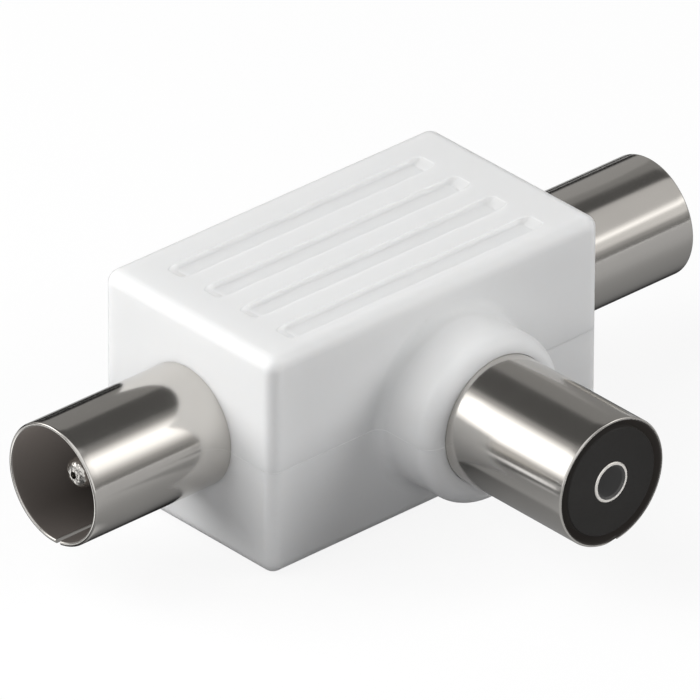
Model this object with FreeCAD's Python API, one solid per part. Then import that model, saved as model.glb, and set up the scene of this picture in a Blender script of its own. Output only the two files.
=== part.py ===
import FreeCAD, Part
import math
import os

# Aerial splitter for push-on coaxial connectors, in millimetres.
# One plug points along -X, the end plug along +X and the side socket along -Y.
# The origin is on the base, straight below the point where the connectors' axes cross.

# Housing
housing_length = 32.1
housing_width = 18.3
housing_height = 17.9
housing_wall = 1.4
edge_radius = 1.0
cavity_corner_radius = 0.5
side_axis_offset = 1.1

# Parting plane, a little below the connectors' axes, where a tongue enters a rebate in the upper half
parting_drop = 0.35
tongue_height = 0.8
tongue_thickness = 0.6
tongue_clearance = 0.05
witness_depth = 0.06
witness_width = 0.03

# Grip grooves on the top
groove_count = 4
groove_pitch = 3.9
groove_width = 1.9
groove_depth = 0.4
groove_margin = 3.6
groove_shift_along = -0.2
groove_shift_across = -0.6
groove_ramp = 0.9
groove_corner_radius = 0.4
groove_floor_radius = 0.25
groove_lip_radius = 0.1

# Boss round the side socket, centred on the parting plane
boss_radius = 6.7
boss_length = 5.2
boss_nose_radius = 1.4
boss_root_radius = 1.0

# Corner posts inside the halves, with a shoulder for the board and a peg on the lower ones
post_radius = 1.5
shoulder_radius = 2.3
post_gap = 0.15
peg_radius = 0.8
peg_height = 3.0
peg_clearance = 0.05
peg_tip_bevel = 0.25

# Sleeves, rolled from strip: a neck in the housing's wall and a flange behind it
plug_radius = 4.76
plug_sleeve_wall = 0.35
plug_reach = 12.9
end_plug_reach = 13.5
socket_sleeve_wall = 0.26
plug_in_socket_clearance = 0.03
side_socket_reach = 17.3
neck_step = 0.2
flange_reach = 1.0
flange_root_bevel = 0.25
rim_bevel = 0.1
rim_wall_share = 0.4
sleeve_clearance = 0.03
plug_slit_mouth = 0.5
plug_slit_root = 0.1
socket_seam = 0.06
slit_turn = 7.0

# Centre conductors
pin_radius = 1.17
pin_root_step = 0.25
pin_recess = 2.0
pin_dome_radius = 0.75
pin_hole_radius = 0.3
pin_hole_depth = 3.0
contact_bore_radius = 1.2
contact_wall = 0.4
contact_recess = 0.02
contact_mouth_bevel = 0.15
contact_edge_bevel = 0.06
collar_reach = 0.4
collar_start = 1.8
collar_length = 0.8
stem_shoulder = 1.0
tail_radius = 0.5
tail_length = 3.0

# Insulators
mating_depth = 9.0
plug_depth_margin = 0.3
post_clearance = 0.15
insulator_recess = 0.05
insulator_clearance = 0.02
insulator_edge_bevel = 0.08
moulding_gap = 0.01
spigot_radius = 2.0
spigot_clearance = 0.03

# Ground frame, folded from strip
frame_thickness = 0.4
frame_bend_radius = 0.4
frame_clearance = 0.1

# Circuit board
board_thickness = 1.0
board_gap = 0.1
tab_width = 1.4
tab_clearance = 0.05
tail_rest_gap = 0.02

# Two-hole ferrite cores
core_length = 4.0
core_width = 5.0
core_height = 3.0
core_corner_radius = 1.3
core_hole_radius = 0.65
core_hole_pitch = 2.4

# Windings: two wires through each core, one above the other
wire_radius = 0.15
wire_level = 0.22
wire_bend_radius = 0.5
wire_turn_margin = 0.2
near_leg_distance = 1.2
far_leg_distance = 2.0

# Small components
component_setback = 0.055
lead_radius = 0.22
lead_hole_clearance = 0.08
lead_stub = 0.8
resistor_radius = 0.85
resistor_waist_radius = 0.7
resistor_cap_length = 0.8
resistor_length = 3.3
resistor_lead_pitch = 5.08
resistor_lift = 0.1
capacitor_radius = 2.0
capacitor_thickness = 1.2
capacitor_edge_bevel = 0.35
capacitor_lead_pitch = 2.54
capacitor_lift = 0.5

# Solder
solder_height = 0.6
solder_base_margin = 0.35
solder_tip_margin = 0.08
tail_solder_radius = 0.85
tail_solder_length = 1.8
tail_solder_end_margin = 0.3

# Places that follow from the sizes above
UP = FreeCAD.Vector(0, 0, 1)
ALONG = FreeCAD.Vector(1, 0, 0)
ACROSS = FreeCAD.Vector(0, 1, 0)
axis_height = housing_height / 2
parting_height = axis_height - parting_drop
left_face = -housing_length / 2 - side_axis_offset
right_face = housing_length / 2 - side_axis_offset
front_face = -housing_width / 2
back_face = housing_width / 2
floor_height = housing_wall
roof_height = housing_height - housing_wall
cavity_left = left_face + housing_wall
cavity_right = right_face - housing_wall
cavity_front = front_face + housing_wall
cavity_back = back_face - housing_wall

socket_bore_radius = plug_radius + plug_in_socket_clearance
socket_radius = socket_bore_radius + socket_sleeve_wall
contact_radius = contact_bore_radius + contact_wall
pin_root_radius = pin_radius + pin_root_step

frame_left = cavity_left + plug_sleeve_wall
frame_right = cavity_right - plug_sleeve_wall
frame_front = cavity_front + socket_sleeve_wall
frame_back = cavity_back - frame_clearance
inner_left = frame_left + frame_thickness
inner_right = frame_right - frame_thickness
inner_front = frame_front + frame_thickness

# Each connector has its own frame: seated on the ground frame's outer face, with Z out of the housing
plug_seat = FreeCAD.Vector(frame_left, 0, axis_height)
side_seat = FreeCAD.Vector(0, frame_front, axis_height)
end_seat = FreeCAD.Vector(frame_right, 0, axis_height)
plug_rim = plug_sleeve_wall + housing_wall + plug_reach
side_rim = socket_sleeve_wall + housing_wall + side_socket_reach
end_rim = plug_sleeve_wall + housing_wall + end_plug_reach
tail_end = -frame_thickness - tail_length

board_top = axis_height - tail_radius - tail_rest_gap
board_bottom = board_top - board_thickness
board_front = inner_front + board_gap
board_back = cavity_back - frame_clearance
post_inset = shoulder_radius + post_gap
post_columns = (inner_left + post_inset, inner_right - post_inset)
post_rows = (inner_front + post_inset, cavity_back - post_inset)
notch_reach = post_radius + post_gap
tab_row = (spigot_radius + spigot_clearance + post_rows[1] - notch_reach) / 2
# Midway between the board's front edge and the cores, but for a small setback
component_row = (board_front - core_width / 2) / 2 + component_setback

plug_tail_x = inner_left + tail_length
end_tail_x = inner_right - tail_length
matching_x = plug_tail_x / 2
splitter_x = end_tail_x / 2
wire_axis_height = board_top + core_height / 2


def path_edges(corners, closed):
    """Edges through (x, y, z, rounding) corners.

    A corner's rounding is the radius of an arc tangent to its two sides.
    A negative one cuts the corner off straight by that much, and 0 leaves it sharp.
    """
    points = [FreeCAD.Vector(*corner[:3]) for corner in corners]
    starts = []
    ends = []
    arcs = []
    last = len(points) - 1
    for i, point in enumerate(points):
        radius = corners[i][3]
        if radius == 0 or (not closed and i in (0, last)):
            starts.append(point)
            ends.append(point)
            arcs.append(None)
            continue
        back = (points[i - 1] - point).normalize()
        ahead = (points[(i + 1) % len(points)] - point).normalize()
        half_angle = back.getAngle(ahead) / 2
        reach = radius / math.tan(half_angle) if radius > 0 else -radius
        starts.append(point + back * reach)
        ends.append(point + ahead * reach)
        inward = (back + ahead).normalize()
        arcs.append(point + inward * (radius / math.sin(half_angle) - radius) if radius > 0 else None)
    edges = []
    for i, middle in enumerate(arcs):
        if middle:
            edges.append(Part.Arc(starts[i], middle, ends[i]).toShape())
        elif starts[i] != ends[i]:
            edges.append(Part.makeLine(starts[i], ends[i]))
        after = (i + 1) % len(points)
        if (closed or i < last) and ends[i].distanceToPoint(starts[after]) > Part.Precision.confusion():
            edges.append(Part.makeLine(ends[i], starts[after]))
    return edges


def flat_face(corners, height):
    """Level face at a height from (x, y) or (x, y, rounding) corners."""
    rounded = [(c[0], c[1], height, c[2] if len(c) > 2 else 0) for c in corners]
    return Part.Face(Part.Wire(path_edges(rounded, True)))


def plate(corners, bottom, top):
    """Solid between two heights from (x, y) or (x, y, rounding) corners."""
    return flat_face(corners, bottom).extrude(UP * (top - bottom))


def turned(corners):
    """Solid turned about Z from a profile of (radius, height) or (radius, height, rounding) corners."""
    profile = [(c[0], 0, c[1], c[2] if len(c) > 2 else 0) for c in corners]
    face = Part.Face(Part.Wire(path_edges(profile, True)))
    return face.revolve(FreeCAD.Vector(), UP, 360)


def swept(corners, radius):
    """Round wire of a radius along (x, y, z, bend radius) corners."""
    path = Part.Wire(path_edges(corners, False))
    start = path.Edges[0].valueAt(path.Edges[0].FirstParameter)
    heading = path.Edges[0].tangentAt(path.Edges[0].FirstParameter)
    section = Part.Wire([Part.makeCircle(radius, start, heading)])
    return path.makePipeShell([section], True, False)


def rectangle(x0, x1, y0, y1, radius):
    """Four corners of a rectangle, rounded alike."""
    return [(x0, y0, radius), (x1, y0, radius), (x1, y1, radius), (x0, y1, radius)]


def seated(shape, seat, outward):
    """Moves a connector's piece from its own frame to its seat, with its X up and its Z outward."""
    turn = FreeCAD.Rotation(UP, outward.cross(UP), outward, "ZXY")
    placed = shape.copy()
    placed.Placement = FreeCAD.Placement(seat, turn)
    return placed


def fused(shapes):
    """One solid from pieces that share faces or volume."""
    return shapes[0].multiFuse(shapes[1:]).removeSplitter()


def sleeve(inner_radius, wall, rim, slit_mouth, slit_root):
    """Sheet sleeve, necked and flanged at its root, rolled up to a slit at the bottom."""
    bevel = min(rim_bevel, wall * rim_wall_share)
    outer_radius = inner_radius + wall
    neck_top = wall + housing_wall
    tube = turned([
        (inner_radius, rim, -bevel),
        (inner_radius, neck_top + wall),
        (inner_radius - neck_step, neck_top + wall),
        (inner_radius - neck_step, 0, -flange_root_bevel),
        (outer_radius - neck_step + flange_reach, 0),
        (outer_radius - neck_step + flange_reach, wall),
        (outer_radius - neck_step, wall, -flange_root_bevel),
        (outer_radius - neck_step, neck_top),
        (outer_radius, neck_top),
        (outer_radius, rim, -bevel),
    ])
    reach = outer_radius + flange_reach + wall
    wedge = Part.Face(Part.makePolygon([
        FreeCAD.Vector(-reach, -slit_root / 2, -wall),
        FreeCAD.Vector(-reach, -slit_mouth / 2, rim + wall),
        FreeCAD.Vector(-reach, slit_mouth / 2, rim + wall),
        FreeCAD.Vector(-reach, slit_root / 2, -wall),
        FreeCAD.Vector(-reach, -slit_root / 2, -wall),
    ]))
    slit = wedge.extrude(ALONG * reach)
    slit.rotate(FreeCAD.Vector(), UP, slit_turn)
    return tube.cut(slit)


def plug_sleeve(rim):
    """Plug's sleeve, with a slit that narrows towards the root."""
    return sleeve(plug_radius - plug_sleeve_wall, plug_sleeve_wall, rim, plug_slit_mouth, plug_slit_root)


def socket_sleeve(rim):
    """Socket's sleeve, with a closed seam."""
    return sleeve(socket_bore_radius, socket_sleeve_wall, rim, socket_seam, socket_seam)


def stem(radius):
    """Lower profile shared by the pin and the contacts: tail, shoulder and collar."""
    return [
        (0, tail_end),
        (tail_radius, tail_end),
        (tail_radius, stem_shoulder),
        (radius, stem_shoulder),
        (radius, collar_start),
        (radius + collar_reach, collar_start),
        (radius + collar_reach, collar_start + collar_length),
        (radius, collar_start + collar_length),
    ]


def stem_hole(radius):
    """Bore profile of an insulator moulded round a stem, from the spigot's end to the collar's top."""
    gap = moulding_gap
    return [
        (tail_radius + gap, -frame_thickness),
        (tail_radius + gap, stem_shoulder - gap),
        (radius + gap, stem_shoulder - gap),
        (radius + gap, collar_start - gap),
        (radius + collar_reach + gap, collar_start - gap),
        (radius + collar_reach + gap, collar_start + collar_length + gap),
        (radius + gap, collar_start + collar_length + gap),
    ]


def plug_insulator_face(rim):
    """Height of a plug's insulator, which leaves the depth that a socket needs."""
    return rim - mating_depth - plug_depth_margin


def pin(rim):
    """Plug's centre pin: thick in the insulator, slim outside it, with a domed tip and a blind hole."""
    tip = rim - pin_recess
    return turned(stem(pin_root_radius) + [
        (pin_root_radius, plug_insulator_face(rim)),
        (pin_radius, plug_insulator_face(rim)),
        (pin_radius, tip, pin_dome_radius),
        (pin_hole_radius, tip),
        (pin_hole_radius, tip - pin_hole_depth),
        (0, tip - pin_hole_depth),
    ])


def contact(rim):
    """Socket's centre contact: a tube with a flared mouth, closed at the root."""
    mouth = rim - contact_recess
    return turned(stem(contact_radius) + [
        (contact_radius, mouth, -contact_edge_bevel),
        (contact_bore_radius, mouth, -contact_mouth_bevel),
        (contact_bore_radius, rim - mating_depth),
        (0, rim - mating_depth),
    ])


def root_profile(outer_radius, wall):
    """Root end of an insulator: step into the sleeve's neck, shoulder on the frame and spigot through it."""
    step_height = wall + housing_wall + wall + insulator_clearance
    return [
        (outer_radius, step_height),
        (outer_radius - neck_step, step_height),
        (outer_radius - neck_step, 0),
        (spigot_radius, 0),
        (spigot_radius, -frame_thickness),
    ]


def plug_insulator(rim):
    """Disc that fills a plug's sleeve at its root."""
    outer_radius = plug_radius - plug_sleeve_wall - insulator_clearance
    return turned(stem_hole(pin_root_radius) + [
        (pin_root_radius + moulding_gap, plug_insulator_face(rim)),
        (outer_radius, plug_insulator_face(rim), -insulator_edge_bevel),
    ] + root_profile(outer_radius, plug_sleeve_wall))


def socket_insulator(rim):
    """Base that fills the sleeve, and a post that a plug's sleeve passes round."""
    outer_radius = socket_bore_radius - insulator_clearance
    nose_radius = plug_radius - plug_sleeve_wall - post_clearance
    face = rim - insulator_recess
    return turned(stem_hole(contact_radius) + [
        (contact_radius + moulding_gap, face),
        (nose_radius, face, -insulator_edge_bevel),
        (nose_radius, rim - mating_depth),
        (outer_radius, rim - mating_depth, -insulator_edge_bevel),
    ] + root_profile(outer_radius, socket_sleeve_wall))


def boss():
    """Turned collar on the front face, with a soft root and a round nose."""
    root = min(boss_root_radius, parting_height - edge_radius - boss_radius)
    form = turned([
        (0, 0),
        (boss_radius + root, 0),
        (boss_radius, 0, root),
        (boss_radius, boss_length, boss_nose_radius),
        (0, boss_length),
    ])
    return seated(form, FreeCAD.Vector(0, front_face, parting_height), -ACROSS)


def housing_form():
    """Outside of both halves: a block with rounded edges and the boss."""
    corner = FreeCAD.Vector(left_face, front_face, 0)
    block = Part.makeBox(housing_length, housing_width, housing_height, corner)
    return fused([block.makeFillet(edge_radius, block.Edges), boss()])


def sleeve_bore(radius, wall, rim, seat, outward):
    """Clearance for a sleeve through the wall, eased at the inside for the flange's root."""
    bore_radius = radius + sleeve_clearance
    neck_radius = bore_radius - neck_step
    eased = neck_radius + flange_root_bevel
    neck_top = wall + housing_wall
    cutter = turned([
        (0, -frame_thickness),
        (eased, -frame_thickness),
        (eased, wall),
        (neck_radius, wall + flange_root_bevel),
        (neck_radius, neck_top),
        (bore_radius, neck_top),
        (bore_radius, rim),
        (0, rim),
    ])
    return seated(cutter, seat, outward)


def sleeve_bores():
    """The three ways out of the housing."""
    return [
        sleeve_bore(plug_radius, plug_sleeve_wall, plug_rim, plug_seat, -ALONG),
        sleeve_bore(socket_radius, socket_sleeve_wall, side_rim, side_seat, -ACROSS),
        sleeve_bore(plug_radius, plug_sleeve_wall, end_rim, end_seat, ALONG),
    ]


def cavity_outline(margin):
    """Plan of the cavity, grown by a margin."""
    return rectangle(
        cavity_left - margin, cavity_right + margin, cavity_front - margin, cavity_back + margin,
        cavity_corner_radius + margin)


def tongue(thickness, height):
    """Frame that stands on the parting plane round the cavity."""
    outer = plate(cavity_outline(thickness), parting_height, parting_height + height)
    return outer.cut(plate(cavity_outline(0), parting_height, parting_height + height))


def witness_line(form):
    """Hairline recess round the outside of the parting plane."""
    outline = form.slice(UP, parting_height)[0]
    face = Part.Face(outline)
    ring = face.cut(face.makeOffset2D(-witness_depth))
    ring.translate(UP * -witness_width / 2)
    return ring.extrude(UP * witness_width)


def post_places():
    """Centres of the four corner posts."""
    return [(x, y) for x in post_columns for y in post_rows]


def upright(radius, place, bottom, top):
    """Round column between two heights."""
    return Part.makeCylinder(radius, top - bottom, FreeCAD.Vector(place[0], place[1], bottom))


def peg(place):
    """Peg with a bevelled tip on a lower post."""
    profile = [
        (0, -housing_wall),
        (peg_radius, -housing_wall),
        (peg_radius, peg_height, -peg_tip_bevel),
        (0, peg_height),
    ]
    form = turned(profile)
    form.translate(FreeCAD.Vector(place[0], place[1], parting_height))
    return form


def groove():
    """Cutter for a grip groove: ramps at both ends, and rounded where its walls and floor meet."""
    x0 = left_face + groove_margin + groove_shift_along
    x1 = right_face - groove_margin + groove_shift_along
    bottom = housing_height - groove_depth
    profile = path_edges([
        (x0 - groove_ramp, 0, housing_height + groove_depth, 0),
        (x0 + groove_ramp, 0, bottom, 0),
        (x1 - groove_ramp, 0, bottom, 0),
        (x1 + groove_ramp, 0, housing_height + groove_depth, 0),
    ], True)
    form = Part.Face(Part.Wire(profile)).extrude(ACROSS * groove_width)
    ramp_edges = [e for e in form.Edges if e.BoundBox.ZLength > groove_depth]
    form = form.makeFillet(groove_corner_radius, ramp_edges)
    floor_edges = [e for e in form.Edges if e.BoundBox.ZMax < bottom + groove_depth / 2]
    return form.makeFillet(groove_floor_radius, floor_edges)


def grooves():
    """Cutters for the grip grooves, side by side across the top."""
    cutters = []
    for i in range(groove_count):
        middle = (i - (groove_count - 1) / 2) * groove_pitch + groove_shift_across
        cutter = groove()
        cutter.translate(ACROSS * (middle - groove_width / 2))
        cutters.append(cutter)
    return cutters


def soft_lips(form):
    """Rounds the edges where the grooves open into the flat top."""
    top = max(form.Faces, key=lambda face: face.CenterOfMass.z)
    openings = [wire for wire in top.Wires if not wire.isSame(top.OuterWire)]
    return form.makeFillet(groove_lip_radius, [edge for wire in openings for edge in wire.Edges])


def hollow_half(form, bottom, top):
    """One half of the housing's outside, hollowed and bored for the sleeves."""
    margin = boss_length + housing_wall
    corner = FreeCAD.Vector(left_face - margin, front_face - margin, bottom)
    side = Part.makeBox(housing_length + 2 * margin, housing_width + 2 * margin, top - bottom, corner)
    cavity = plate(cavity_outline(0), floor_height, roof_height)
    return form.common(side).cut([cavity] + sleeve_bores() + [witness_line(form)])


def housing_top():
    """Upper half: grooves outside, posts with blind holes inside, rebate at the parting plane."""
    half = hollow_half(housing_form(), parting_height, housing_height)
    post_top = roof_height + housing_wall / 2
    posts = [upright(post_radius, place, parting_height, post_top) for place in post_places()]
    hole_top = parting_height + peg_height + peg_clearance
    holes = [upright(peg_radius + peg_clearance, place, parting_height, hole_top) for place in post_places()]
    rebate = tongue(tongue_thickness + tongue_clearance, tongue_height + tongue_clearance)
    return soft_lips(fused([half] + posts).cut(holes + [rebate] + grooves()))


def housing_bottom():
    """Lower half: flat base, stepped posts with pegs inside, tongue at the parting plane."""
    half = hollow_half(housing_form(), 0, parting_height)
    inside = []
    for place in post_places():
        inside.append(upright(shoulder_radius, place, floor_height - housing_wall / 2, board_bottom))
        inside.append(upright(post_radius, place, floor_height, parting_height))
        inside.append(peg(place))
    rim = tongue(tongue_thickness, tongue_height).cut(sleeve_bores())
    return fused([half, rim] + inside)


def tab_boxes(margin):
    """The board's tabs through the frame's walls: one in each side wall and two in the front wall."""
    half = tab_width / 2 + margin
    near = tab_row - half
    far = tab_row + half
    plans = [
        rectangle(frame_left, inner_left + board_gap, near, far, 0),
        rectangle(inner_right - board_gap, frame_right, near, far, 0),
        rectangle(matching_x - half, matching_x + half, frame_front, inner_front + board_gap, 0),
        rectangle(splitter_x - half, splitter_x + half, frame_front, inner_front + board_gap, 0),
    ]
    return [plate(plan, board_bottom - margin, board_top + margin) for plan in plans]


def ground_frame():
    """Strip folded to three walls that join the sleeves, with a hole for each insulator's spigot."""
    outer_bend = frame_bend_radius + frame_thickness
    walls = plate([
        (frame_left, frame_back),
        (frame_left, frame_front, outer_bend),
        (frame_right, frame_front, outer_bend),
        (frame_right, frame_back),
        (inner_right, frame_back),
        (inner_right, inner_front, frame_bend_radius),
        (inner_left, inner_front, frame_bend_radius),
        (inner_left, frame_back),
    ], floor_height + frame_clearance, roof_height - frame_clearance)
    hole = Part.makeCylinder(spigot_radius + spigot_clearance, frame_thickness, UP * -frame_thickness)
    holes = [
        seated(hole, plug_seat, -ALONG),
        seated(hole, side_seat, -ACROSS),
        seated(hole, end_seat, ALONG),
    ]
    return walls.cut(holes + tab_boxes(tab_clearance))


def wire_legs(core_x):
    """Places where a core's two wires go through the board."""
    face = core_x - core_length / 2
    return [
        (face - distance, side * core_hole_pitch / 2)
        for distance in (near_leg_distance, far_leg_distance) for side in (-1, 1)]


def lead_places(middle, pitch):
    """Places where a component's two leads go through the board, in the row of small components."""
    return [(middle - pitch / 2, component_row), (middle + pitch / 2, component_row)]


def joint_places():
    """Every place on the board with a wire or lead through it, with that wire's radius."""
    leads = lead_places(splitter_x, resistor_lead_pitch) + lead_places(matching_x, capacitor_lead_pitch)
    wires = wire_legs(matching_x) + wire_legs(splitter_x)
    return [(place, lead_radius) for place in leads] + [(place, wire_radius) for place in wires]


def circuit_board():
    """Board between the frame's walls, notched round the posts, with tabs into the walls."""
    plan = rectangle(inner_left + board_gap, inner_right - board_gap, board_front, board_back, 0)
    blank = fused([plate(plan, board_bottom, board_top)] + tab_boxes(0))
    cutters = [
        upright(radius + lead_hole_clearance, place, board_bottom, board_top)
        for place, radius in joint_places()]
    for x_edge, x, x_way in ((inner_left, post_columns[0], 1), (inner_right, post_columns[1], -1)):
        for y_edge, y, y_way in ((inner_front, post_rows[0], 1), (cavity_back, post_rows[1], -1)):
            x_inner = x + x_way * notch_reach
            y_inner = y + y_way * notch_reach
            cutters.append(plate([
                (x_edge, y_edge),
                (x_inner, y_edge),
                (x_inner, y_inner, notch_reach),
                (x_edge, y_inner),
            ], board_bottom, board_top))
    return blank.cut(cutters)


def core(x):
    """Ferrite core with two holes side by side, lying on the board with its holes along X."""
    half = core_width / 2
    block = plate([
        (-half, 0, core_corner_radius),
        (half, 0, core_corner_radius),
        (half, core_height, core_corner_radius),
        (-half, core_height, core_corner_radius),
    ], 0, core_length)
    reach = core_hole_pitch / 2
    holes = [
        Part.makeCylinder(core_hole_radius, core_length, FreeCAD.Vector(place, core_height / 2, 0))
        for place in (-reach, reach)]
    form = block.cut(holes)
    turn = FreeCAD.Rotation(ACROSS, UP, ALONG, "ZXY")
    form.Placement = FreeCAD.Placement(FreeCAD.Vector(x - core_length / 2, 0, board_top), turn)
    return form


def wire(core_x, leg_distance, level):
    """One wire: up through the board, through a hole, round the back, through the other hole and down."""
    leg_x = core_x - core_length / 2 - leg_distance
    side = core_hole_pitch / 2
    turn_x = core_x + core_length / 2 + wire_turn_margin + side
    height = wire_axis_height + level
    bottom = board_bottom - lead_stub
    return swept([
        (leg_x, -side, bottom, 0),
        (leg_x, -side, height, wire_bend_radius),
        (turn_x, -side, height, side),
        (turn_x, side, height, side),
        (leg_x, side, height, wire_bend_radius),
        (leg_x, side, bottom, 0),
    ], wire_radius)


def isolation_resistor():
    """Small resistor between the two outputs, with its leads bent down through the board."""
    (x0, y), (x1, _) = lead_places(splitter_x, resistor_lead_pitch)
    height = board_top + resistor_lift + resistor_radius
    bottom = board_bottom - lead_stub
    leads = swept([
        (x0, y, bottom, 0),
        (x0, y, height, lead_radius * 2),
        (x1, y, height, lead_radius * 2),
        (x1, y, bottom, 0),
    ], lead_radius)
    cap = resistor_cap_length
    step = resistor_radius - resistor_waist_radius
    body = turned([
        (0, 0),
        (resistor_radius, 0, -step),
        (resistor_radius, cap),
        (resistor_waist_radius, cap + step),
        (resistor_waist_radius, resistor_length - cap - step),
        (resistor_radius, resistor_length - cap),
        (resistor_radius, resistor_length, -step),
        (0, resistor_length),
    ])
    body = seated(body, FreeCAD.Vector(splitter_x - resistor_length / 2, y, height), ALONG)
    return fused([body, leads])


def tuning_capacitor():
    """Ceramic disc on edge, with two straight leads through the board."""
    height = board_top + capacitor_lift + capacitor_radius
    disc = turned([
        (0, 0),
        (capacitor_radius, 0, -capacitor_edge_bevel),
        (capacitor_radius, capacitor_thickness, -capacitor_edge_bevel),
        (0, capacitor_thickness),
    ])
    disc = seated(disc, FreeCAD.Vector(matching_x, component_row - capacitor_thickness / 2, height), ACROSS)
    leads = [
        upright(lead_radius, place, board_bottom - lead_stub, height)
        for place in lead_places(matching_x, capacitor_lead_pitch)]
    return fused([disc] + leads)


def joint_below(place, radius):
    """Cone of solder under the board round a wire or lead."""
    cone = Part.makeCone(
        radius + solder_tip_margin, radius + solder_base_margin, solder_height,
        FreeCAD.Vector(place[0], place[1], board_bottom - solder_height))
    return cone.cut(upright(radius, place, board_bottom - lead_stub, board_bottom))


def joint_on_tail(seat, outward):
    """Half-round solder over a tail that lies on the board."""
    start = tail_end + tail_solder_end_margin
    bead = turned([
        (0, start),
        (tail_solder_radius, start, -tail_solder_end_margin),
        (tail_solder_radius, start + tail_solder_length, -tail_solder_end_margin),
        (0, start + tail_solder_length),
    ])
    bead = bead.cut(Part.makeCylinder(tail_radius, tail_length, UP * tail_end))
    bead = seated(bead, seat, outward)
    box = bead.BoundBox
    under = Part.makeBox(
        box.XLength, box.YLength, board_top - box.ZMin, FreeCAD.Vector(box.XMin, box.YMin, box.ZMin))
    return bead.cut(under)


def solder_joints():
    """All soldered joints, as separate solids."""
    joints = [joint_below(place, radius) for place, radius in joint_places()]
    joints.append(joint_on_tail(plug_seat, -ALONG))
    joints.append(joint_on_tail(side_seat, -ACROSS))
    joints.append(joint_on_tail(end_seat, ALONG))
    return Part.makeCompound(joints)


def pieces():
    """Every piece of the splitter by name."""
    return {
        "housing_top": housing_top(),
        "housing_bottom": housing_bottom(),
        "ground_frame": ground_frame(),
        "plug_sleeve": seated(plug_sleeve(plug_rim), plug_seat, -ALONG),
        "plug_insulator": seated(plug_insulator(plug_rim), plug_seat, -ALONG),
        "plug_pin": seated(pin(plug_rim), plug_seat, -ALONG),
        "side_socket_sleeve": seated(socket_sleeve(side_rim), side_seat, -ACROSS),
        "side_socket_insulator": seated(socket_insulator(side_rim), side_seat, -ACROSS),
        "side_socket_contact": seated(contact(side_rim), side_seat, -ACROSS),
        "end_plug_sleeve": seated(plug_sleeve(end_rim), end_seat, ALONG),
        "end_plug_insulator": seated(plug_insulator(end_rim), end_seat, ALONG),
        "end_plug_pin": seated(pin(end_rim), end_seat, ALONG),
        "circuit_board": circuit_board(),
        "matching_core": core(matching_x),
        "matching_wire_inner": wire(matching_x, near_leg_distance, -wire_level),
        "matching_wire_outer": wire(matching_x, far_leg_distance, wire_level),
        "splitter_core": core(splitter_x),
        "splitter_wire_inner": wire(splitter_x, near_leg_distance, -wire_level),
        "splitter_wire_outer": wire(splitter_x, far_leg_distance, wire_level),
        "isolation_resistor": isolation_resistor(),
        "tuning_capacitor": tuning_capacitor(),
        "solder_joints": solder_joints(),
    }


def main():
    """Writes one STEP file for each piece."""
    os.makedirs("parts", exist_ok=True)
    for name, shape in pieces().items():
        shape.exportStep(f"parts/{name}.step")
        print(name, "valid" if shape.isValid() else "NOT VALID", len(shape.Solids), round(shape.Volume, 3))


main()
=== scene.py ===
import math
from typing import NamedTuple

import bpy
import numpy as np
from bpy.props import FloatProperty, FloatVectorProperty, IntProperty, PointerProperty
from mathutils import Matrix, Vector


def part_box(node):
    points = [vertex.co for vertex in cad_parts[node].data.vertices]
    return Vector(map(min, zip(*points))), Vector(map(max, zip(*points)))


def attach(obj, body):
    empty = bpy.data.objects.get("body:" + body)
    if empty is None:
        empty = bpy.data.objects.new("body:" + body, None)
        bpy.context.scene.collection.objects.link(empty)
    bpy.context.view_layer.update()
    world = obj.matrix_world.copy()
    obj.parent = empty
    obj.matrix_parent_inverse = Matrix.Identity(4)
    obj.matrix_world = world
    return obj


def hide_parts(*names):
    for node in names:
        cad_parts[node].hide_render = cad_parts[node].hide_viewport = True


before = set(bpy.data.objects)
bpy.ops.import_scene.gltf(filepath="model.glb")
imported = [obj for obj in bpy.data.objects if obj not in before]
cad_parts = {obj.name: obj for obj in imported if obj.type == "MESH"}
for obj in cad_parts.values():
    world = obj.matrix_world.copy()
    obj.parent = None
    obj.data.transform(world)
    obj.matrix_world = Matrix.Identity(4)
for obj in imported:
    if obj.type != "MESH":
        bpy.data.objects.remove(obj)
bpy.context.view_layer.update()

bl_info = {
    "name": "Aerial splitter looks",
    "version": (1, 0, 0),
    "blender": (4, 5, 0),
    "location": "3D View > Sidebar > Splitter",
    "description": "Sheet metal sleeves, finishes and the studio for a white T-shaped aerial splitter",
    "category": "Object",
}

UP = np.array([0.0, 0.0, 1.0])
AXIS_HEIGHT = (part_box("plug_pin")[0].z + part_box("plug_pin")[1].z) / 2
BLACK = (0.0, 0.0, 0.0)
WHITE = (1.0, 1.0, 1.0)

# Painted light and shade on the housing: places in metres, and glow as linear light
# Painted light: the left end is made paler.
PALE_END, PALE_BLEND = 0.0016, 0.0034  # from the left face
# Painted shade: a darker band along the far top edge.
FAR_EDGE_SHADE = (0.0005, 0.0001)  # from the far face
GROOVE_FLOOR, GROOVE_LIP = 0.0006, 0.00004  # from the top face
GROOVES_REACH = 0.008  # from the middle
# The right ramps are painted darker to dim their highlights, and the left ramps paler as painted light
# against their shade.
RIGHT_RAMPS = (0.0103, 0.0115)  # start and end along X
LEFT_RAMPS = (-0.0141, -0.0127)
# The joint glows as painted light to lift the shade in its recess.
JOINT_HALF, JOINT_GLOW = 0.00002, 0.083

# Tints of the connectors
DRAWN = 0.04  # how far the drawing lines are stretched
PLUG_SKIN, SOCKET_SKIN = 0.9, 0.6  # share of the wall that has the outside's finish
# Painted light in the sleeves' insides: shares of the inside colour that glow at the bottom and at the top.
PLUG_INSIDE_GLOW, SOCKET_INSIDE_GLOW = (0.02, 0.9), (0.13, 0.17)  # share of the inside's colour at its bottom and top
INSIDE_GLOW_SPREAD = 1.6  # height over which the painted glow grows, in radii
PIN_TIP = 0.0009  # length with the skin of solder
CONTACT_MOUTH = 0.00136  # radius where the contact's bright rim starts
CONTACT_BORE_GLOW = 0.032  # painted glow in the contact's bore
# The insulator glows as painted light in this gap round the post.
POST_GAP = (0.0001, 0.012)  # start and end of the gap round the socket's post, from the insulator's face

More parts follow.
